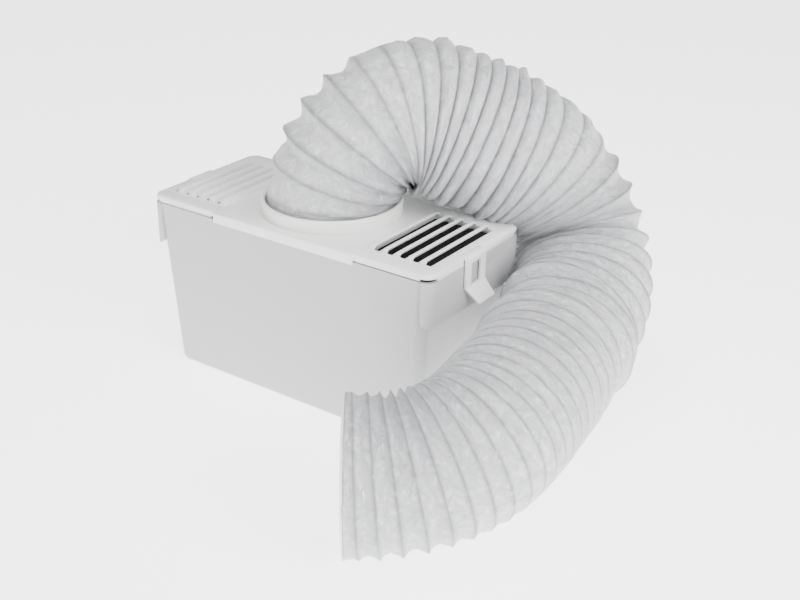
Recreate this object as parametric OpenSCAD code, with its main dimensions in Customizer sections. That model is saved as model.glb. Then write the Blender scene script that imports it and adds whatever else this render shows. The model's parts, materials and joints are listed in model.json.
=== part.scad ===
// Indoor condenser box for a vented tumble dryer, with its 100 mm wire-helix hose.
// +X runs along the box, -Y is the long front face, +Z is up.
// The origin is on the ground, under the middle of the box.

/* [Box] */
// Length over the end skirts
box_l = 280; // [232:1:340]
// Width over the long walls at the rim
box_w = 128; // [124:1:170]
// Height of the lid's top face above the ground
box_h = 156; // [130:1:200]
// How far each wall leans in from the rim to the ground
draft = 8; // [2:0.5:14]
// Radius of the upright corners
corner_r = 8; // [6:0.5:14]
// Thickness of the tub's walls
tub_wall = 2.4; // [1.8:0.1:3.6]
// Thickness of the tub's floor
tub_floor = 3; // [2.4:0.1:5]
// Width of the rim's ledge
rim_ledge = 6; // [5:0.5:9]

/* [End skirts] */
// Height of the deep band at each short end
skirt_h = 37; // [32:1:50]
// How far the band stands out from the end wall
skirt_step = 5; // [3:0.5:8]
// Thickness of the band's wall
skirt_wall = 1.8; // [1.2:0.1:2.4]

/* [Lid] */
// Thickness of the lid's plate
lid_t = 4; // [3.6:0.1:6]
// Thickness of the foam seal, which shows as a dark gap
seal_t = 3; // [2:0.1:5]
// Thickness of the lips round the lid's edge
lip_t = 2.5; // [2:0.1:3]
// Length of the front lip that covers the gap
lip_l = 140; // [80:1:180]
// Height of the front lip
lip_h = 8.5; // [6:0.5:12]
// How far the front lip and the rear rail stand out
lip_out = 1.6; // [1:0.1:3]
// Length of the raised rail along the back
rail_l = 200; // [120:1:212]
// Depth of the raised rail
rail_w = 9; // [6:0.5:12]
// Height of the raised rail
rail_h = 2.2; // [1:0.1:4]

/* [Louvres] */
// Number of hoods in each bank
hood_count = 5; // [3:1:7]
// Distance from one hood to the next
hood_pitch = 11.7; // [10:0.1:12]
// Length of a hood
hood_l = 90; // [60:1:92]
// Height of a hood above the lid
hood_h = 3.6; // [3:0.1:5]
// Distance from the middle of the lid to a bank
bank_start = 72.5; // [70:0.5:76]
// How far the banks sit forward of the middle
bank_forward = 4; // [0:0.5:5]

/* [Collar and duct] */
// Outside diameter of the raised collar
collar_od = 116; // [113:0.5:120]
// Thickness of the collar's wall
collar_wall = 4; // [3:0.1:4.4]
// Height of the collar above the lid
collar_h = 11; // [8:0.5:16]
// Outside diameter of the duct spigot
spigot_od = 100; // [96:0.5:100]
// Thickness of the spigot's wall
spigot_wall = 2; // [1.6:0.1:3]
// How far the spigot reaches above the lid
spigot_up = 7; // [4:0.5:8]
// How far the spigot hangs below its flange
spigot_down = 24; // [15:1:32]
// Drop from the spigot's mouth to the deflector
deflector_drop = 26; // [18:1:32]
// Diameter of the deflector dish
deflector_d = 88; // [60:1:92]

/* [Latches] */
// Width of a latch
latch_w = 27; // [24:1:36]
// How far the latches sit forward of the middle
latch_forward = 6; // [0:1:8]
// Thickness of a latch's strap
latch_t = 2.4; // [2:0.1:3]
// Length of a latch below the lid's top face
latch_h = 35; // [32:1:42]
// Diameter of a latch pin
latch_pin_d = 2.2; // [2:0.1:2.4]
// How far the finger flap stands out
flap_out = 11; // [5:0.5:12]

/* [Cooling packs] */
// Length of a cooling pack
pack_l = 98; // [80:1:99]
// Width of a cooling pack
pack_w = 84; // [60:1:88]
// Thickness of a cooling pack
pack_t = 26; // [18:1:30]
// Height of the rack that holds the packs off the floor
rack_h = 12; // [8:0.5:16]

/* [Hose] */
// Wall of the hose's film
film_t = 1; // [0.8:0.1:1.4]
// Width of the ring at the hose's free end
end_ring_l = 16; // [10:1:24]
// Bore of the ring at the hose's free end
end_ring_bore = 102; // [100:0.5:104]

/* [Hidden] */
$fn = 96;

rim_z = box_h - lid_t - seal_t;
lid_z = box_h - lid_t;
end_x = box_l / 2 - skirt_step;
foot_d = 14;
foot_t = 3;
foot_proud = 1.5;
slip = 0.3;
rim_corner_r = 1;
rib_slip = 0.5;
lip_inset = 1.5;
lip_corner = 4;
seal_w = rim_ledge + rib_slip - lip_t;
running = 0.05;
skin = 0.02;

// Lid hardware
pin_x = box_l / 2 - 2.6;
pin_z = box_h - 2.2;
pin_grip = 6;
barrel_r = 2.2;
window_w = 13;
window_h = 18;
window_z = box_h - 24;
catch_proud = 0.4;
strap_gap = 0.8;
flap_h = 10;
screw_d = 3;
screw_circle = spigot_od + 7.5;
flange_r = screw_circle / 2 + 3.6;

// Louvre banks
bank_l = hood_count * hood_pitch;
bank_w = hood_l + 4;
hood_t = 0.9;
hood_reach = 4.9;
hood_curl = 0.5;
hood_start = 0.8;
slot_start = 2.2;
land_w = 1.6;
web_t = 1.4;
filter_t = 2.5;

// Cooling packs
floor_z = foot_proud + tub_floor;
rack_z = floor_z + rack_h;
pack_x = 4;
neck_r = 8;
neck_l = 6;
cap_r = 11;
cap_l = 11;
cap_z = rack_z + pack_t / 2;

// The hose leaves the collar upwards, arches over the lid's back edge, comes down round
// the box's right end and lies on the ground in front of it.
hose_route = [
    [0, 0, 156], [0, 0, 178], [15, 10, 215], [35, 35, 235], [60, 60, 232], [96, 82, 211],
    [125, 105, 195], [150, 120, 160], [172, 114, 120], [196, 72, 95], [200, 25, 87],
    [210, -15, 80], [215, -65, 80], [220, -120, 70], [190, -160, 57], [155, -185, 57]
];
// Outer radius of the hose along its length, as share of the route and radius
hose_radii = [[0, 53.2], [0.12, 55], [0.25, 53], [0.5, 53], [0.75, 55], [1, 56.5]];
hose_steps = 3;
hose_sides = 12;

// ---- shared shapes ----

module rounded_rect(l, w, r) {
    square([l - 2 * r, w], center = true);
    square([l, w - 2 * r], center = true);
    for (x = [-1, 1], y = [-1, 1]) {
        translate([x * (l / 2 - r), y * (w / 2 - r)]) circle(r);
    }
}

module slab(l, w, r, z) {
    translate([0, 0, z]) linear_extrude(skin) rounded_rect(l, w, r);
}

// Mirrors its children to the chosen end
module at_end(side) {
    mirror([side < 0 ? 1 : 0, 0, 0]) children();
}

// A latch's place: its mirrored end, moved forward
module latch_place(side) {
    at_end(side) translate([0, -latch_forward, 0]) children();
}

// An outline in X and Z, carried along Y and centred
module along_y(length) {
    rotate([90, 0, 0]) linear_extrude(length, center = true) children();
}

function lean(z) = draft * (1 - z / rim_z);

// The tub's tapered block, brought in by inset, from z0 up to z1, with a soft bottom edge
module tapered_block(inset, z0, z1, bottom_r) {
    hull() {
        for (step = [[bottom_r, 0], [0.3 * bottom_r, 0.3 * bottom_r], [0, bottom_r]]) {
            z = z0 + step[1];
            shrink = inset + lean(z) + step[0];
            slab(2 * (end_x - shrink), box_w - 2 * shrink, corner_r, z, $fn = 32);
        }
        slab(2 * (end_x - inset - lean(z1)), box_w - 2 * (inset + lean(z1)), corner_r,
            z1 - skin, $fn = 32);
    }
}

// ---- tub ----

module skirt_outline() {
    low = rim_z - skirt_h;
    inner = box_l / 2 - skirt_step - corner_r / 2;
    rise = 7;
    curve = [for (a = [0 : 10 : 90]) [inner + rise * (1 - cos(a)), low + rise * (1 - sin(a))]];
    polygon(concat([[inner, rim_z]], curve, [[box_l / 2, low], [box_l / 2, rim_z]]));
}

module end_skirt() {
    pocket_x = end_x - draft;
    difference() {
        intersection() {
            linear_extrude(rim_z) rounded_rect(box_l, box_w, corner_r);
            along_y(box_w) skirt_outline();
        }
        translate([pocket_x, -box_w / 2 + corner_r, 0])
            cube([box_l / 2 - skirt_wall - pocket_x, box_w - 2 * corner_r, rim_z - tub_wall]);
    }
    translate([box_l / 2 - 1, -window_w / 2 + 2 - latch_forward, window_z + 2])
        cube([1 + catch_proud, window_w - 4, window_h - 6]);
}

module foot_places() {
    for (x = [-1, 1], y = [-1, 1]) {
        translate([x * foot_x(), y * foot_y(), 0]) children();
    }
}

function foot_x() = end_x - lean(0) - foot_d - corner_r;
function foot_y() = box_w / 2 - lean(0) - foot_d - corner_r / 2;

module tub() color("gainsboro") {
    difference() {
        union() {
            tapered_block(0, foot_proud, rim_z, 4);
            end_skirt();
            at_end(-1) end_skirt();
        }
        tapered_block(tub_wall, floor_z, rim_z - tub_wall, 4);
        translate([0, 0, rim_z - tub_wall - 1]) linear_extrude(tub_wall + 2)
            rounded_rect(2 * (end_x - rim_ledge), box_w - 2 * rim_ledge, rim_corner_r);
        foot_places() cylinder(d = foot_d, h = foot_t);
    }
}

module foot(x, y) color("dimgray") {
    translate([x * foot_x(), y * foot_y(), 0]) {
        cylinder(d = foot_d, h = foot_t);
    }
}

// ---- rack and cooling packs ----

rack_l = 2 * (pack_x + pack_l) + 14;
rack_w = pack_w + 12;

module pack_rack() color("lightgray") {
    bar = 4;
    bars = 10;
    plate = 3;
    stop = 8;
    translate([0, 0, rack_z - plate]) {
        for (y = [-1, 1]) {
            translate([-rack_l / 2, y * (rack_w - bar) / 2 - bar / 2, 0])
                cube([rack_l, bar, plate]);
        }
        for (i = [0 : bars]) {
            translate([-rack_l / 2 + i * (rack_l - bar) / bars, -rack_w / 2, 0])
                cube([bar, rack_w, plate]);
        }
        for (x = [-1, 1], y = [-1, 1]) {
            translate([x * (rack_l - bar) / 2 - bar / 2, y * rack_w / 3 - 6, 0])
                cube([bar, 12, plate + stop]);
        }
    }
    for (x = [-1, 1], y = [-1, 1]) {
        translate([x * (rack_l / 2 - 5), y * (rack_w / 2 - 5), floor_z])
            cylinder(d = 8, h = rack_h - plate + 1);
    }
}

module pack(side) color("skyblue") at_end(side) {
    soft = 4;
    r = 10;
    translate([pack_x + pack_l / 2, 0, rack_z + slip]) hull() {
        linear_extrude(pack_t, $fn = 32)
            rounded_rect(pack_l - 2 * soft, pack_w - 2 * soft, r - soft);
        translate([0, 0, soft]) linear_extrude(pack_t - 2 * soft, $fn = 32)
            rounded_rect(pack_l, pack_w, r);
    }
    translate([pack_x + pack_l - 1, 0, cap_z]) rotate([0, 90, 0])
        cylinder(r = neck_r, h = neck_l + 1);
}

module cap(side) color("royalblue") at_end(side) {
    ribs = 18;
    start = pack_x + pack_l + slip;
    bore_l = neck_l - slip + 1;
    translate([start, 0, cap_z]) rotate([0, 90, 0]) difference() {
        union() {
            cylinder(r = cap_r - 0.6, h = cap_l);
            for (i = [0 : ribs - 1]) {
                rotate([0, 0, i * 360 / ribs]) translate([cap_r - 0.8, 0, 0])
                    cylinder(r = 0.8, h = cap_l - 1, $fn = 16);
            }
        }
        translate([0, 0, -1]) cylinder(r = neck_r + running, h = bore_l + 1);
    }
}

// ---- lid ----

module lid_blank() {
    soft = 1.6;
    hull() {
        slab(box_l, box_w, corner_r + 1, lid_z, $fn = 32);
        slab(box_l, box_w, corner_r + 1, box_h - soft, $fn = 32);
        slab(box_l - soft * 0.6, box_w - soft * 0.6, corner_r + 0.7, box_h - soft * 0.3,
            $fn = 32);
        slab(box_l - 2 * soft, box_w - 2 * soft, corner_r, box_h - skin, $fn = 32);
    }
}

// The bullnose lip that hangs over the rim along the middle of a long side
module front_lip() {
    depth = 3.4;
    low = box_h - lip_h;
    face = box_w / 2 + slip;
    translate([0, -face, low]) intersection() {
        translate([-lip_l / 2, -lip_out, 0]) cube([lip_l, lip_out + depth, lip_h]);
        union() {
            translate([-lip_l / 2, -lip_out, 0]) cube([lip_l, lip_out, lip_h - lip_out]);
            translate([0, 0, lip_h - lip_out]) rotate([0, 90, 0])
                cylinder(r = lip_out, h = lip_l, center = true);
            translate([-lip_l / 2, 0, lid_z - low]) cube([lip_l, depth, lid_t]);
        }
    }
}

// A band that follows the lid's outline, brought in by inset and inset_to
module edge_band(inset, inset_to) {
    difference() {
        rounded_rect(box_l - 2 * inset, box_w - 2 * inset, corner_r + 1 - inset);
        rounded_rect(box_l - 2 * inset_to, box_w - 2 * inset_to, corner_r + 1 - inset_to);
    }
}

// The lid's edge reaches down to the rim: flush at the short ends and at the right of the
// front, a little set back elsewhere, and open at the corners
module edge_lips() {
    low = rim_z + slip;
    end_reach = box_w / 2 - corner_r - 2;
    front_reach = box_l / 2 - corner_r - 1 - lip_l / 2;
    translate([0, 0, low]) linear_extrude(lid_z - low + 1) {
        intersection() {
            edge_band(0, lip_t);
            for (x = [-1, 1]) {
                translate([x * box_l / 2, 0]) square([2 * corner_r, 2 * end_reach], center = true);
            }
        }
        intersection() {
            edge_band(lip_inset, lip_t);
            union() {
                translate([-box_l / 2 + lip_corner, -box_w / 2]) square([front_reach, corner_r]);
                translate([-box_l / 2 + lip_corner, box_w / 2 - corner_r])
                    square([box_l - 2 * lip_corner, corner_r]);
            }
        }
    }
    translate([lip_l / 2 - 1, -box_w / 2, low + 1])
        cube([front_reach, lip_t, lid_z - low]);
}

module rear_rail() {
    half = rail_l / 2 - rail_w / 2;
    y = box_w / 2 - rail_w / 2 + lip_out + slip;
    difference() {
        translate([0, y, lid_z]) {
            translate([-half, -rail_w / 2, 0]) cube([2 * half, rail_w, lid_t + rail_h]);
            for (x = [-1, 1]) {
                translate([x * half, 0, 0]) cylinder(d = rail_w, h = lid_t + rail_h);
            }
        }
        cylinder(r = collar_od / 2, h = 2 * box_h);
    }
}

// Ribs under the lid that drop inside the tub's rim and centre the lid
module locating_ribs() {
    rib_t = 2;
    rib_h = 9;
    reach_x = end_x - rim_ledge - rib_slip;
    reach_y = box_w / 2 - rim_ledge - rib_slip;
    rib_x = 40;
    rib_y = reach_y - bank_w / 2 - bank_forward - 1;
    for (x = [-1, 1], y = [-1, 1]) {
        translate([x * (reach_x - rib_t / 2) - rib_t / 2, y * (reach_y - rib_y / 2) - rib_y / 2,
            lid_z - rib_h]) cube([rib_t, rib_y, rib_h + 1]);
        translate([x * (reach_x - rib_x / 2) - rib_x / 2, y * (reach_y - rib_t / 2) - rib_t / 2,
            lid_z - rib_h]) cube([rib_x, rib_t, rib_h + 1]);
    }
}

module latch_notch() {
    gap = latch_w + 2 * slip;
    translate([pin_x - barrel_r - slip, -gap / 2, lid_z - 1])
        cube([2 * skirt_step + barrel_r, gap, lid_t + 2]);
    translate([pin_x, 0, pin_z]) rotate([90, 0, 0])
        cylinder(d = latch_pin_d, h = latch_w + 2 * pin_grip, center = true);
}

module bank_place(side) {
    at_end(side) translate([bank_start, -bank_forward, 0]) children();
}

module screw_places() {
    for (a = [45 : 90 : 315]) {
        rotate([0, 0, a]) translate([screw_circle / 2, 0, 0]) children();
    }
}

module lid() color("whitesmoke") {
    difference() {
        union() {
            lid_blank();
            front_lip();
            rear_rail();
            edge_lips();
            locating_ribs();
        }
        translate([0, 0, lid_z - 1]) cylinder(d = spigot_od + 2 * slip, h = lid_t + 2);
        for (side = [-1, 1]) {
            bank_place(side) translate([0, -bank_w / 2, lid_z - 1])
                cube([bank_l, bank_w, lid_t + 2]);
            latch_place(side) latch_notch();
        }
        screw_places() translate([0, 0, lid_z - 1]) cylinder(d = screw_d, h = 4);
    }
}

// A hood's arched profile: a quick rise, then a slow curl down to its open edge
function hood_line(h, rise, reach) = concat(
    [for (a = [0 : 10 : 90]) [rise * (1 - cos(a)), h * sin(a)]],
    [for (i = [1 : 6]) [rise + (reach - rise) * i / 6, h - hood_curl * pow(i / 6, 2)]]);

// The space under a hood's outer face or, brought in by its thickness, under its inner face
module hood_block(inset, extra) {
    h = hood_h - inset;
    rise = 3;
    end_r = hood_h * 1.2;
    reach = hood_reach + extra;
    intersection() {
        translate([inset, 0, 0]) along_y(hood_l) polygon(concat([[0, -lid_t]],
            hood_line(h, rise, reach - inset), [[reach - inset, -lid_t]]));
        rotate([90, 0, 90]) linear_extrude(hood_pitch) union() {
            translate([-hood_l / 2 + inset, -lid_t])
                square([hood_l - 2 * inset, lid_t + h - end_r + 1]);
            translate([-hood_l / 2 + inset + end_r, -lid_t])
                square([hood_l - 2 * (inset + end_r), lid_t + hood_h]);
            for (y = [-1, 1]) {
                translate([y * (hood_l / 2 - inset - end_r), h - end_r]) circle(end_r);
            }
        }
    }
}

module louvre(side) color("whitesmoke") bank_place(side) {
    translate([0, 0, box_h]) difference() {
        union() {
            translate([0, -bank_w / 2, -lid_t]) cube([bank_l, bank_w, lid_t]);
            for (i = [0 : hood_count - 1]) {
                translate([i * hood_pitch + hood_start, 0, 0]) hood_block(0, 0);
            }
        }
        for (i = [0 : hood_count - 1]) {
            translate([i * hood_pitch + hood_start, 0, 0]) hood_block(hood_t, 1);
            translate([i * hood_pitch + slot_start, -hood_l / 2 + hood_t, -web_t - 1])
                cube([hood_pitch - slot_start - land_w, hood_l - 2 * hood_t, web_t + 1]);
        }
        translate([slot_start, -hood_l / 2 + hood_t, -lid_t - 1])
            cube([bank_l - slot_start - land_w, hood_l - 2 * hood_t, lid_t - web_t + 1]);
    }
}

// A square-cut foam cord round the rim, left out where the latches' barrels turn
module lid_seal() color("slategray") {
    gap = latch_w + 2 * (pin_grip + 2);
    translate([0, 0, rim_z + slip]) linear_extrude(seal_t - slip) difference() {
        edge_band(lip_t, lip_t + seal_w);
        for (x = [-1, 1]) {
            translate([x * box_l / 2, -latch_forward])
                square([2 * (lip_t + seal_w) + 1, gap], center = true);
        }
    }
}

// An open-cell foam pad under each bank, which keeps lint in the box
module filter_pad(side) color("slategray") bank_place(side) {
    margin = 1;
    translate([margin, margin - bank_w / 2, lid_z - filter_t])
        cube([bank_l - 2 * margin, bank_w - 2 * margin, filter_t]);
}

// ---- duct ----

module hose_collar() color("white") {
    r = collar_od / 2;
    edge = collar_wall / 2;
    translate([0, 0, box_h]) rotate_extrude() {
        translate([r - collar_wall, 0]) square([collar_wall, collar_h - edge]);
        translate([r - edge, collar_h - edge]) circle(edge, $fn = 32);
    }
}

module duct_spigot() color("white") {
    r = spigot_od / 2;
    flange_t = 2.4;
    difference() {
        union() {
            translate([0, 0, lid_z - flange_t]) cylinder(r = flange_r, h = flange_t);
            translate([0, 0, lid_z - flange_t - spigot_down])
                cylinder(r = r, h = flange_t + spigot_down + lid_t + spigot_up);
        }
        translate([0, 0, lid_z - flange_t - spigot_down - 1])
            cylinder(r = r - spigot_wall, h = spigot_down + flange_t + lid_t + spigot_up + 2);
        screw_places() translate([0, 0, lid_z - flange_t - 1])
            cylinder(d = screw_d + 0.4, h = flange_t + 2);
    }
}

module spigot_screws() color("silver") screw_places() {
    head_t = 2;
    translate([0, 0, lid_z - 2.4]) cylinder(d = screw_d, h = 2.4 + 3);
    translate([0, 0, lid_z - 2.4 - head_t]) difference() {
        cylinder(d = 5.6, h = head_t);
        for (a = [0, 90]) {
            rotate([0, 0, a]) translate([-1.6, -0.4, -0.1]) cube([3.2, 0.8, 1.2]);
        }
    }
}

// A shallow dish on three arms that turns the air outwards over the packs
module air_deflector() color("white") {
    mouth = lid_z - 2.4 - spigot_down;
    low = mouth - deflector_drop;
    dish_t = 2;
    r = deflector_d / 2;
    translate([0, 0, low]) rotate_extrude()
        polygon([[0, 5], [8, 4], [r - 6, 0], [r, 2], [r, 2 + dish_t], [r - 6, dish_t],
            [8, 4 + dish_t], [0, 5 + dish_t]]);
    arm_r = min(spigot_od / 2 - spigot_wall - 3, r - 3);
    arm_w = 8;
    bore_reach = sqrt(pow(spigot_od / 2 - spigot_wall, 2) - pow(arm_w / 2, 2));
    for (a = [0, 120, 240]) {
        rotate([0, 0, a]) {
            translate([arm_r - 2, -arm_w / 2, low + 1]) cube([2.4, arm_w, deflector_drop + 8]);
            translate([arm_r, -arm_w / 2, mouth + 2]) cube([bore_reach - arm_r, arm_w, 7]);
        }
    }
}

// ---- latches ----

module latch_side() {
    face = box_l / 2 + strap_gap;
    low = box_h - latch_h;
    knee = low + flap_h;
    top = pin_z + barrel_r;
    bend = 3;
    outer = face + latch_t;
    corner = [for (a = [90 : -15 : 0]) [outer - bend + bend * cos(a), top - bend + bend * sin(a)]];
    polygon(concat([[pin_x, top - latch_t], [pin_x, top]], corner,
        [[outer, knee], [outer + flap_out, low], [outer + flap_out - latch_t * 0.7, low - 1],
        [face, knee - 1], [face, top - latch_t]]));
}

module latch_front() {
    low = box_h - latch_h - 2;
    knee = low + flap_h + 2;
    taper = 3;
    half = latch_w / 2;
    polygon([[-half + taper, low], [half - taper, low], [half, knee], [half, box_h + 5],
        [-half, box_h + 5], [-half, knee]]);
}

module latch(side) color("white") latch_place(side) {
    difference() {
        union() {
            intersection() {
                along_y(latch_w) latch_side();
                rotate([90, 0, 90]) linear_extrude(box_l) latch_front();
            }
            translate([pin_x, 0, pin_z]) rotate([90, 0, 0])
                cylinder(r = barrel_r, h = latch_w, center = true);
        }
        translate([box_l / 2, -window_w / 2, window_z]) cube([flap_out, window_w, window_h]);
        translate([pin_x, 0, pin_z]) rotate([90, 0, 0])
            cylinder(d = latch_pin_d + 2 * running, h = latch_w + 2, center = true);
    }
}

module latch_pin(side) color("silver") latch_place(side) {
    translate([pin_x, 0, pin_z]) rotate([90, 0, 0])
        cylinder(d = latch_pin_d, h = latch_w + 2 * pin_grip, center = true);
}

// ---- hose ----

function unit(v) = v / norm(v);
function grown(p) = concat([2 * p[0] - p[1]], p, [2 * p[len(p) - 1] - p[len(p) - 2]]);
function blend_weights(t) = [pow(1 - t, 3), 3 * pow(t, 3) - 6 * t * t + 4,
    3 * t + 3 * t * t - 3 * pow(t, 3) + 1, pow(t, 3)] / 6;
function slope_weights(t) = [-pow(1 - t, 2), 3 * t * t - 4 * t, 1 + 2 * t - 3 * t * t, t * t] / 2;
function mix(p, i, w) = w[0] * p[i] + w[1] * p[i + 1] + w[2] * p[i + 2] + w[3] * p[i + 3];
function carry(tangents, i, side) = i == len(tangents) ? [] :
    let (s = unit(side - (side * tangents[i]) * tangents[i]))
    concat([s], carry(tangents, i + 1, s));

spans = len(hose_route) - 1;
hose_count = spans * hose_steps;
hose_knots = grown(hose_route);
hose_at = [for (k = [0 : hose_count]) let (i = min(floor(k / hose_steps), spans - 1))
    [i, k / hose_steps - i]];
hose_points = [for (s = hose_at) mix(hose_knots, s[0], blend_weights(s[1]))];
hose_tangents = [for (s = hose_at) unit(mix(hose_knots, s[0], slope_weights(s[1])))];
hose_sides_dir = carry(hose_tangents, 0, [1, 0, 0]);
hose_end = hose_points[hose_count];
hose_end_dir = hose_tangents[hose_count];

function ring(k, r) = let (s = hose_sides_dir[k], c = cross(hose_tangents[k], s))
    [for (j = [0 : hose_sides - 1]) let (a = j * 360 / hose_sides)
        hose_points[k] + r * (cos(a) * s + sin(a) * c)];

function at(layer, k, j) = (layer * (hose_count + 1) + k) * hose_sides + j % hose_sides;

module hose() color("white") {
    n = hose_sides;
    m = hose_count + 1;
    outer = [for (k = [0 : hose_count]) each ring(k, lookup(k / hose_count, hose_radii))];
    inner = [for (k = [0 : hose_count])
        each ring(k, lookup(k / hose_count, hose_radii) - film_t)];
    walls = [for (k = [0 : m - 2], j = [0 : n - 1]) each [
        [at(0, k, j), at(0, k + 1, j), at(0, k + 1, j + 1)],
        [at(0, k, j), at(0, k + 1, j + 1), at(0, k, j + 1)],
        [at(1, k, j), at(1, k + 1, j + 1), at(1, k + 1, j)],
        [at(1, k, j), at(1, k, j + 1), at(1, k + 1, j + 1)]]];
    ends = [for (j = [0 : n - 1]) each [
        [at(0, 0, j), at(0, 0, j + 1), at(1, 0, j + 1)],
        [at(0, 0, j), at(1, 0, j + 1), at(1, 0, j)],
        [at(0, m - 1, j), at(1, m - 1, j + 1), at(0, m - 1, j + 1)],
        [at(0, m - 1, j), at(1, m - 1, j), at(1, m - 1, j + 1)]]];
    polyhedron(concat(outer, inner), concat(walls, ends));
}

// A plain ring in the hose's free end, with a narrow lip that shows at its mouth
module hose_end_ring() color("white") {
    lip = 2;
    inside_r = (lookup(1, hose_radii) - film_t) * cos(180 / hose_sides) - 0.6;
    outside_r = lookup(1, hose_radii);
    tilt = acos(hose_end_dir[2]);
    turn = atan2(hose_end_dir[1], hose_end_dir[0]);
    translate(hose_end) rotate([0, tilt, turn]) difference() {
        union() {
            translate([0, 0, lip - end_ring_l]) cylinder(r = inside_r, h = end_ring_l);
            cylinder(r = outside_r, h = lip);
        }
        translate([0, 0, -end_ring_l]) cylinder(d = end_ring_bore, h = 2 * end_ring_l);
    }
}

tub();
foot(-1, -1);  // foot_front_left
foot(1, -1);  // foot_front_right
foot(-1, 1);  // foot_back_left
foot(1, 1);  // foot_back_right
pack_rack();
lid();
louvre(-1);  // louvre_left
louvre(1);  // louvre_right
lid_seal();
filter_pad(-1);  // filter_left
filter_pad(1);  // filter_right
hose_collar();
duct_spigot();
spigot_screws();
air_deflector();
latch(-1);  // latch_left
latch(1);  // latch_right
latch_pin(-1);  // latch_pin_left
latch_pin(1);  // latch_pin_right
pack(-1);  // pack_left
pack(1);  // pack_right
cap(-1);  // cap_left
cap(1);  // cap_right
hose();
hose_end_ring();
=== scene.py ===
import bmesh
import bpy
import json
import math
from mathutils import Matrix, Vector, noise

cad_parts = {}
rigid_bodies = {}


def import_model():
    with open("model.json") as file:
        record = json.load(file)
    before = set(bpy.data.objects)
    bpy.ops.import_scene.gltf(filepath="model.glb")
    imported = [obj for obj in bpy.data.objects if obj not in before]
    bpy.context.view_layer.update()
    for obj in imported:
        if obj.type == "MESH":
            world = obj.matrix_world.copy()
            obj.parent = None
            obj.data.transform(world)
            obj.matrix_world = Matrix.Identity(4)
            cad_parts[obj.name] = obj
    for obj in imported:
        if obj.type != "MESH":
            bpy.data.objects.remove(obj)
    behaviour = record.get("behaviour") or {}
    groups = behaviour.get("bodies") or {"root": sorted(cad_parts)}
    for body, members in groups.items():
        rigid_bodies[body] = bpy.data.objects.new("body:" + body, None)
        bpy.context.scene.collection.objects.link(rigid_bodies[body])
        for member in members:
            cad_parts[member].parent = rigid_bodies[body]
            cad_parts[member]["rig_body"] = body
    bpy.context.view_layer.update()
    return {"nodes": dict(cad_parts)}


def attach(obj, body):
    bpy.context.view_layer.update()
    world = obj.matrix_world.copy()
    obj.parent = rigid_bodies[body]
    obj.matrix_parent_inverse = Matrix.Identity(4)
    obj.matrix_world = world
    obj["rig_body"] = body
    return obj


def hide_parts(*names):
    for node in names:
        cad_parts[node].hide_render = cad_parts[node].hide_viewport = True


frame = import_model()
nodes = frame["nodes"]


# the camera

cameraSettings = {
    "place": (0.5934, -0.7529, 0.5322),
    "looking": (-0.5156, 0.7401, -0.4317),
    "roll": 0.94,  # degrees
    "lens": 56.7,
}


def placeCamera(settings):
    bpy.ops.object.camera_add(location=settings["place"])
    camera = bpy.context.object
    camera.name = "camera"
    camera.data.lens = settings["lens"]
    looking = Vector(settings["looking"]).normalized()
    facing = looking.to_track_quat("-Z", "Y").to_matrix()
    roll = Matrix.Rotation(math.radians(settings["roll"]), 3, "Z")
    camera.rotation_euler = (facing @ roll).to_euler()
    bpy.context.scene.camera = camera
    print("camera placed")


placeCamera(cameraSettings)


# selecting and finishing

def pickOnly(*objects):
    bpy.ops.object.select_all(action="DESELECT")
    for item in objects:
        item.select_set(True)
    if objects:
        bpy.context.view_layer.objects.active = objects[0]


def applyModifiers(item):
    pickOnly(item)
    for modifier in list(item.modifiers):
        bpy.ops.object.modifier_apply(modifier=modifier.name)


def cleanUp(item, merge=0.00001):
    pickOnly(item)
    bpy.ops.object.mode_set(mode="EDIT")
    bpy.ops.mesh.select_all(action="SELECT")
    bpy.ops.mesh.remove_doubles(threshold=merge)
    bpy.ops.mesh.normals_make_consistent(inside=False)
    bpy.ops.object.mode_set(mode="OBJECT")


def smooth(item, angle=35):
    pickOnly(item)
    bpy.ops.object.shade_smooth_by_angle(angle=math.radians(angle))


# materials

def startMaterial(name):
    material = bpy.data.materials.new(name)
    material.use_nodes = True
    tree = material.node_tree
    return material, tree, tree.nodes["Principled BSDF"]


def addNode(tree, kind, **values):
    node = tree.nodes.new(kind)
    for key, value in values.items():
        if key in node.inputs:
            node.inputs[key].default_value = value
        else:
            setattr(node, key, value)
    return node


def addRamp(tree, source, low, high, start=0.35, end=0.65):
    ramp = tree.nodes.new("ShaderNodeValToRGB")
    ramp.color_ramp.elements[0].position = start
    ramp.color_ramp.elements[1].position = end
    ramp.color_ramp.elements[0].color = (*low, 1)
    ramp.color_ramp.elements[1].color = (*high, 1)
    tree.links.new(source, ramp.inputs["Fac"])
    return ramp.outputs["Color"]


def scaled(colour, factor):
    return tuple(part * factor for part in colour)


def grey(value):
    return (value, value, value)


# moulded plastic: a faint mottle, uneven gloss and the fine grain of a spark-eroded mould
def mouldedPlastic(name, colour, gloss=0.42, grain=0.05, mottle=0.03):
    material, tree, shader = startMaterial(name)
    place = addNode(tree, "ShaderNodeTexCoord")
    broad = addNode(tree, "ShaderNodeTexNoise", Scale=14.0, Detail=3.0)
    fine = addNode(tree, "ShaderNodeTexNoise", Scale=1400.0, Detail=2.0)
    bump = addNode(tree, "ShaderNodeBump", Strength=grain, Distance=0.0004)
    for texture in (broad, fine):
        tree.links.new(place.outputs["Object"], texture.inputs["Vector"])
    tint = addRamp(tree, broad.outputs["Fac"], scaled(colour, 1 - mottle), colour)
    rough = addRamp(tree, broad.outputs["Fac"], grey(gloss - 0.05), grey(gloss + 0.05))
    tree.links.new(tint, shader.inputs["Base Color"])
    tree.links.new(rough, shader.inputs["Roughness"])
    tree.links.new(fine.outputs["Fac"], bump.inputs["Height"])
    tree.links.new(bump.outputs["Normal"], shader.inputs["Normal"])
    return material


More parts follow.
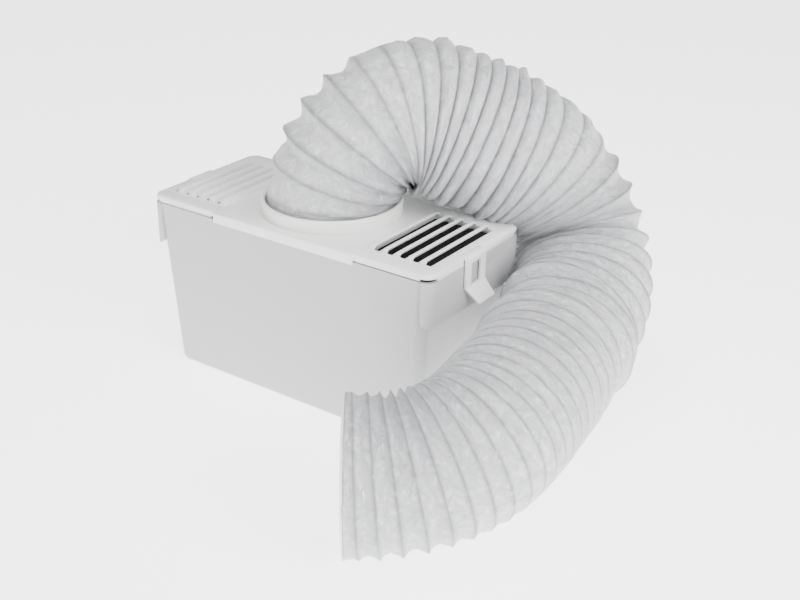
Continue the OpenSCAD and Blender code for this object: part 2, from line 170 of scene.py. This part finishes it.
# thin film over a wire: crumpled a few millimetres wide, and darker along the wire, partly the
# wire showing through the film and partly painted shade along each ridge
def hoseFilm(name, colour):
    material, tree, shader = startMaterial(name)
    along = addNode(tree, "ShaderNodeUVMap", uv_map="alongHose")
    stretch = addNode(tree, "ShaderNodeMapping")
    stretch.inputs["Scale"].default_value = (42, 66, 1)
    creases = addNode(tree, "ShaderNodeTexNoise", Scale=1.0, Detail=6.0, Roughness=0.7,
                      Distortion=1.6)
    bump = addNode(tree, "ShaderNodeBump", Strength=1.0, Distance=0.0070)
    wire = addNode(tree, "ShaderNodeAttribute", attribute_name="wire")
    tint = addNode(tree, "ShaderNodeMix", data_type="RGBA", blend_type="MIX")
    tree.links.new(along.outputs["UV"], stretch.inputs["Vector"])
    tree.links.new(stretch.outputs["Vector"], creases.inputs["Vector"])
    # the film is painted darker in the low hollows of the crumples: painted shade in the
    # creases
    film = addRamp(tree, creases.outputs["Fac"], scaled(colour, 0.87), colour, 0.3, 0.6)
    tree.links.new(wire.outputs["Fac"], tint.inputs["Factor"])
    tree.links.new(film, tint.inputs["A"])
    # along the wire the film is painted half as bright: the wire seen through the film, and
    # painted shade along each ridge
    tint.inputs["B"].default_value = (*scaled(colour, 0.5), 1)
    tree.links.new(tint.outputs["Result"], shader.inputs["Base Color"])
    tree.links.new(creases.outputs["Fac"], bump.inputs["Height"])
    tree.links.new(bump.outputs["Normal"], shader.inputs["Normal"])
    rough = addRamp(tree, creases.outputs["Fac"], grey(0.26), grey(0.46))
    tree.links.new(rough, shader.inputs["Roughness"])
    return material


def foamRubber(name, colour, scale=900.0):
    material, tree, shader = startMaterial(name)
    place = addNode(tree, "ShaderNodeTexCoord")
    cells = addNode(tree, "ShaderNodeTexVoronoi", Scale=scale)
    bump = addNode(tree, "ShaderNodeBump", Strength=0.4, Distance=0.0005)
    tree.links.new(place.outputs["Object"], cells.inputs["Vector"])
    tint = addRamp(tree, cells.outputs["Distance"], scaled(colour, 0.7), colour, 0.1, 0.6)
    tree.links.new(tint, shader.inputs["Base Color"])
    tree.links.new(cells.outputs["Distance"], bump.inputs["Height"])
    tree.links.new(bump.outputs["Normal"], shader.inputs["Normal"])
    shader.inputs["Roughness"].default_value = 0.85
    return material


def turnedSteel(name, colour):
    material, tree, shader = startMaterial(name)
    place = addNode(tree, "ShaderNodeTexCoord")
    lines = addNode(tree, "ShaderNodeTexNoise", Scale=2500.0, Detail=2.0)
    tree.links.new(place.outputs["Object"], lines.inputs["Vector"])
    rough = addRamp(tree, lines.outputs["Fac"], grey(0.22), grey(0.42))
    tint = addRamp(tree, lines.outputs["Fac"], scaled(colour, 0.85), colour)
    tree.links.new(rough, shader.inputs["Roughness"])
    tree.links.new(tint, shader.inputs["Base Color"])
    shader.inputs["Metallic"].default_value = 1.0
    return material


# the tub is made a darker grey than the lid: painted shade for its walls, which take less
# light than the lid's top
tubPlasticShadedGrey = mouldedPlastic("tubPlasticShadedGrey", (0.49, 0.49, 0.50))
lidPlastic = mouldedPlastic("lidPlastic", (0.90, 0.905, 0.90), gloss=0.36)
ductPlastic = mouldedPlastic("ductPlastic", (0.92, 0.915, 0.89), gloss=0.4)
rackPlastic = mouldedPlastic("rackPlastic", (0.74, 0.75, 0.75), gloss=0.45)
packPlastic = mouldedPlastic("packPlastic", (0.20, 0.45, 0.72), gloss=0.3, mottle=0.12)
capPlastic = mouldedPlastic("capPlastic", (0.05, 0.13, 0.42), gloss=0.38)
# near-black foam for the lid seal and the filter pads under the louvres; its black is partly
# painted shade, filling the louvre openings and the lid's gaps where the dark inside of the
# box shows
sealFoamAndShade = foamRubber("sealFoamAndShade", (0.012, 0.012, 0.014))
footRubber = foamRubber("footRubber", (0.05, 0.05, 0.05), scale=2200.0)
screwSteel = turnedSteel("screwSteel", (0.72, 0.72, 0.72))
filmPlastic = hoseFilm("filmPlastic", (0.96, 0.97, 1.0))


# the hose

hoseSettings = {
    "route": [  # metres, the same points as the model's own
        (0, 0, 0.156), (0, 0, 0.178), (0.015, 0.010, 0.215), (0.035, 0.035, 0.235),
        (0.060, 0.060, 0.232), (0.096, 0.082, 0.211), (0.125, 0.105, 0.195),
        (0.150, 0.120, 0.160), (0.172, 0.114, 0.120), (0.196, 0.072, 0.095),
        (0.200, 0.025, 0.087), (0.210, -0.015, 0.080), (0.215, -0.065, 0.080),
        (0.220, -0.120, 0.070), (0.190, -0.160, 0.057), (0.155, -0.185, 0.057),
    ],
    "exit": (0, 0.022, 0.156),  # in the collar, towards its wall
    "diameter": 0.106,  # over the film, between its ridges and its hollows
    # share of the length, radius over the wire, depth of the taut film between two turns,
    # height of the slack film there, distance from one turn to the next
    "stretches": [
        (0.00, 0.0532, 0.0004, 0.0000, 0.0160),
        (0.03, 0.0530, 0.0036, 0.0000, 0.0172),
        (0.07, 0.0556, 0.0076, 0.0000, 0.0166),
        (0.12, 0.0572, 0.0076, 0.0000, 0.0136),
        (0.15, 0.0566, 0.0026, 0.0020, 0.0112),
        (0.18, 0.0546, 0.0000, 0.0070, 0.0106),
        (0.30, 0.0548, 0.0000, 0.0066, 0.0112),
        (0.345, 0.0556, 0.0010, 0.0036, 0.0136),
        (0.39, 0.0568, 0.0060, 0.0000, 0.0168),
        (0.45, 0.0574, 0.0070, 0.0000, 0.0172),
        (0.52, 0.0566, 0.0060, 0.0000, 0.0156),
        (0.62, 0.0556, 0.0036, 0.0006, 0.0150),
        (0.70, 0.0554, 0.0022, 0.0018, 0.0142),
        (0.78, 0.0556, 0.0018, 0.0018, 0.0116),
        (0.83, 0.0556, 0.0016, 0.0012, 0.0080),
        (0.88, 0.0558, 0.0024, 0.0006, 0.0090),
        (0.93, 0.0565, 0.0052, 0.0000, 0.0118),
        (0.985, 0.0568, 0.0032, 0.0000, 0.0118),
        (1.00, 0.0568, 0.0004, 0.0000, 0.0118),
    ],
    # share of the length, and how far the slack film hangs on the bend's inner side
    "hang": [
        (0.00, 0.0), (0.08, 0.0), (0.14, 0.004), (0.20, 0.003), (0.30, 0.004), (0.38, 0.002),
        (0.45, 0.0), (0.55, 0.0), (0.61, 0.006), (0.67, 0.006), (0.72, 0.0), (1.00, 0.0),
    ],
    "rows": 8,  # rows of faces in one turn of the wire
    "sides": 96,
    "film": 0.0005,
    "closest": 1.1,  # share of the bend's radius that the inner side may use
    "steps": 1200,  # points on the centreline
    "girth": 0.345,  # metres round the hose, which keeps the creases square
    "crumple": 0.0009,
    "crumpleScale": (420, 7),  # along the hose, round it
    "unevenScale": (90, 2),
    "unevenTaut": 0.35,
    "unevenSlack": 0.5,
    "wireFade": 6,  # one over the share of a turn in which the darkening along the wire, the wire's tone and painted shade, fades
    "merge": 0.000002,
    "pathStep": 6,  # centreline points from one point of the cord's path to the next
}


def splinePoint(route, place):
    ends = [2 * route[0] - route[1], *route, 2 * route[-1] - route[-2]]
    span = min(int(place), len(route) - 2)
    t = place - span
    weights = (
        (1 - t) ** 3,
        3 * t ** 3 - 6 * t ** 2 + 4,
        3 * t + 3 * t ** 2 - 3 * t ** 3 + 1,
        t ** 3,
    )
    return sum((weights[i] * ends[span + i] for i in range(4)), Vector()) / 6


# evenly spaced points on the route, with the direction and the bend at each
def followRoute(route, count):
    fine = 4000
    rough = [splinePoint(route, i * (len(route) - 1) / fine) for i in range(fine + 1)]
    reached = [0.0]
    for before, after in zip(rough, rough[1:]):
        reached.append(reached[-1] + (after - before).length)
    length = reached[-1]
    points = []
    at = 0
    for i in range(count + 1):
        target = length * i / count
        while at < fine - 1 and reached[at + 1] < target:
            at += 1
        share = (target - reached[at]) / (reached[at + 1] - reached[at])
        points.append(rough[at].lerp(rough[at + 1], min(share, 1.0)))
    step = length / count
    ways = []
    for i in range(count + 1):
        ways.append((points[min(i + 1, count)] - points[max(i - 1, 0)]).normalized())
    bends = []
    for i in range(count + 1):
        low, high = max(i - 2, 0), min(i + 2, count)
        bends.append((ways[high] - ways[low]) / (step * (high - low)))
    return points, ways, bends, length


def lookUp(table, share, column):
    for before, after in zip(table, table[1:]):
        if share <= after[0]:
            part = (share - before[0]) / (after[0] - before[0])
            part = part * part * (3 - 2 * part)
            return before[column] + (after[column] - before[column]) * part
    return table[-1][column]


def noiseAt(share, angle, scale):
    along, across = scale
    place = (share * along, math.cos(angle) * across, math.sin(angle) * across)
    return noise.noise(Vector(place))


def makeHose(settings):
    route = [Vector(point) for point in settings["route"]]
    count = settings["steps"]
    points, ways, bends, length = followRoute(route, count)
    stretches = settings["stretches"]
    sides, rows = settings["sides"], settings["rows"]
    turns = [0.0]
    for i in range(count):
        turns.append(turns[-1] + length / count / lookUp(stretches, (i + 0.5) / count, 4))
    wraps = [Vector((1, 0, 0))]
    for way in ways[1:]:
        side = wraps[-1] - way * wraps[-1].dot(way)
        wraps.append(side.normalized())

    def alongAt(turn):
        turn = min(max(turn, 0.0), turns[-1])
        low, high = 0, count
        while high - low > 1:
            middle = (low + high) // 2
            if turns[middle] <= turn:
                low = middle
            else:
                high = middle
        return low + (turn - turns[low]) / (turns[low + 1] - turns[low])

    mesh = bmesh.new()
    wire = mesh.verts.layers.float.new("wire")
    grid = []
    lastRow = int(math.ceil((turns[-1] + 1) * rows))
    uvs = {}
    for row in range(lastRow + 1):
        line = []
        for side in range(sides):
            turn = row / rows - 1 + side / sides
            along = alongAt(turn)
            base = min(int(along), count - 1)
            part = along - base
            share = along / count
            angle = 2 * math.pi * side / sides
            centre = points[base].lerp(points[base + 1], part)
            way = ways[base].lerp(ways[base + 1], part).normalized()
            wrap = wraps[base].lerp(wraps[base + 1], part)
            wrap = (wrap - way * wrap.dot(way)).normalized()
            out = wrap * math.cos(angle) + way.cross(wrap) * math.sin(angle)
            bend = bends[base].lerp(bends[base + 1], part)
            taut = lookUp(stretches, share, 2)
            slack = lookUp(stretches, share, 3)
            phase = (row % rows) / rows
            if turn <= 0 or turn >= turns[-1]:
                phase = 0
            between = math.sin(math.pi * phase)
            uneven = noiseAt(share, angle, settings["unevenScale"])
            crumple = noiseAt(share, angle, settings["crumpleScale"])
            radius = lookUp(stretches, share, 1)
            hollow = math.sin(math.pi * phase ** 1.2) ** 0.8
            radius -= taut * hollow * (1 + settings["unevenTaut"] * uneven)
            radius += slack * between ** 0.5 * (1 + settings["unevenSlack"] * uneven)
            radius += crumple * settings["crumple"] * between
            inward = out.dot(bend)
            if inward > 0:
                radius = min(radius, settings["closest"] / inward)
                radius += lookUp(settings["hang"], share, 1) * (inward / bend.length) ** 1.5
            spot = mesh.verts.new(centre + out * radius)
            # how much darker the film is here: the wire's tone through the film, and painted
            # shade along the ridge
            spot[wire] = max(0.0, 1 - settings["wireFade"] * min(phase, 1 - phase))
            uvs[spot] = (side / sides, share * length / settings["girth"])
            line.append(spot)
        grid.append(line)
    uvLayer = mesh.loops.layers.uv.new("alongHose")
    for row in range(lastRow):
        for side in range(sides):
            if side < sides - 1:
                corners = [
                    grid[row][side],
                    grid[row][side + 1],
                    grid[row + 1][side + 1],
                    grid[row + 1][side],
                ]
            else:
                over = min(row + rows, lastRow)
                above = min(row + rows + 1, lastRow)
                if over == above:
                    continue
                corners = [grid[row][side], grid[over][0], grid[above][0], grid[row + 1][side]]
            face = mesh.faces.new(corners)
            face.smooth = True
            for loop in face.loops:
                u, v = uvs[loop.vert]
                loop[uvLayer].uv = (1.0 if side == sides - 1 and u == 0 else u, v)
    data = bpy.data.meshes.new("hoseFilm")
    mesh.to_mesh(data)
    mesh.free()
    hose = bpy.data.objects.new("hoseFilm", data)
    bpy.context.scene.collection.objects.link(hose)
    cleanUp(hose, settings["merge"])
    shell = hose.modifiers.new("film", "SOLIDIFY")
    shell.thickness = settings["film"]
    shell.offset = -1
    applyModifiers(hose)
    hose.data.materials.append(filmPlastic)
    centres = [tuple(points[i]) for i in range(0, count + 1, settings["pathStep"])]
    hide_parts("hose")
    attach(hose, "lid")
    print("hose made,", round(length, 3), "m long,", len(hose.data.polygons), "faces")
    return hose, centres, length


hose, hoseCentres, hoseLength = makeHose(hoseSettings)


# the moulded pieces: a merged copy of each solid, with its sharp edges broken

mouldings = {  # material, slot, width of the broken edges in metres
    "tub": (tubPlasticShadedGrey, "tub_plastic", 0.0007),
    "lid": (lidPlastic, "lid_plastic", 0.0006),
    "louvre_left": (lidPlastic, "lid_plastic", 0.00025),
    "louvre_right": (lidPlastic, "lid_plastic", 0.00025),
    "hose_collar": (ductPlastic, "lid_plastic", 0.0004),
    "duct_spigot": (ductPlastic, "lid_plastic", 0.0004),
    "air_deflector": (ductPlastic, "lid_plastic", 0.0004),
    "latch_left": (lidPlastic, "lid_plastic", 0.0005),
    "latch_right": (lidPlastic, "lid_plastic", 0.0005),
    "pack_rack": (rackPlastic, "rack_plastic", 0.0006),
    "pack_left": (packPlastic, "pack_film", 0.001),
    "pack_right": (packPlastic, "pack_film", 0.001),
    "cap_left": (capPlastic, "cap_plastic", 0.0004),
    "cap_right": (capPlastic, "cap_plastic", 0.0004),
    "hose_end_ring": (ductPlastic, "hose_film", 0.0003),
}


def softenedCopy(name, edge):
    source = nodes[name]
    piece = bpy.data.objects.new(name + "_moulded", source.data.copy())
    bpy.context.scene.collection.objects.link(piece)
    pickOnly(piece)
    bpy.ops.object.mode_set(mode="EDIT")
    bpy.ops.mesh.select_all(action="SELECT")
    bpy.ops.mesh.remove_doubles(threshold=0.00001)
    bpy.ops.mesh.dissolve_limited(angle_limit=math.radians(1))
    bpy.ops.mesh.customdata_custom_splitnormals_clear()
    bpy.ops.object.mode_set(mode="OBJECT")
    bevel = piece.modifiers.new("edges", "BEVEL")
    bevel.width = edge
    bevel.segments = 2
    bevel.limit_method = "ANGLE"
    bevel.angle_limit = math.radians(40)
    bevel.harden_normals = False
    applyModifiers(piece)
    smooth(piece, 40)
    return piece


def makeMouldings():
    for name, (material, slot, edge) in mouldings.items():
        piece = softenedCopy(name, edge)
        piece.data.materials.clear()
        piece.data.materials.append(material)
        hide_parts(name)
        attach(piece, nodes[name]["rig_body"])
    print("mouldings made")


makeMouldings()

plainNodes = {
    # the near-black seal and filter pads are partly painted shade in the lid's gaps and under
    # the louvres
    "lid_seal": sealFoamAndShade,
    "filter_left": sealFoamAndShade,
    "filter_right": sealFoamAndShade,
    "spigot_screws": screwSteel,
    "latch_pin_left": screwSteel,
    "latch_pin_right": screwSteel,
    "foot_front_left": footRubber,
    "foot_front_right": footRubber,
    "foot_back_left": footRubber,
    "foot_back_right": footRubber,
}
for name, material in plainNodes.items():
    nodes[name].data.materials.clear()
    nodes[name].data.materials.append(material)


# floor and light

floorGlow = 2.8
worldStrength = 0.38


def makeFloor():
    bpy.ops.mesh.primitive_plane_add(size=60)
    floor = bpy.context.object
    floor.name = "floor"
    material, tree, shader = startMaterial("floorPaper")
    shader.inputs["Base Color"].default_value = (0.97, 0.97, 0.97, 1)
    shader.inputs["Roughness"].default_value = 0.9
    shader.inputs["Emission Color"].default_value = (1, 1, 1, 1)
    shader.inputs["Emission Strength"].default_value = floorGlow
    floor.data.materials.append(material)


lights = {
    "topSoft": {"place": (0.2, -0.5, 1.6), "size": 1.1, "power": 30},
    "frontFill": {"place": (-0.6, -1.6, 0.9), "size": 1.2, "power": 1.5},
    "rightFill": {"place": (1.6, -0.4, 0.8), "size": 1.0, "power": 34},
}


def makeLights():
    middle = Vector((0.05, 0, 0.1))
    for name, light in lights.items():
        bpy.ops.object.light_add(type="AREA", location=light["place"])
        lamp = bpy.context.object
        lamp.name = name
        lamp.data.energy = light["power"]
        lamp.data.size = light["size"]
        toMiddle = middle - Vector(light["place"])
        lamp.rotation_euler = toMiddle.to_track_quat("-Z", "Y").to_euler()
    world = bpy.data.worlds.new("studio")
    bpy.context.scene.world = world
    world.use_nodes = True
    world.node_tree.nodes["Background"].inputs["Color"].default_value = (1, 1, 1, 1)
    world.node_tree.nodes["Background"].inputs["Strength"].default_value = worldStrength


makeFloor()
makeLights()
print("stage made")
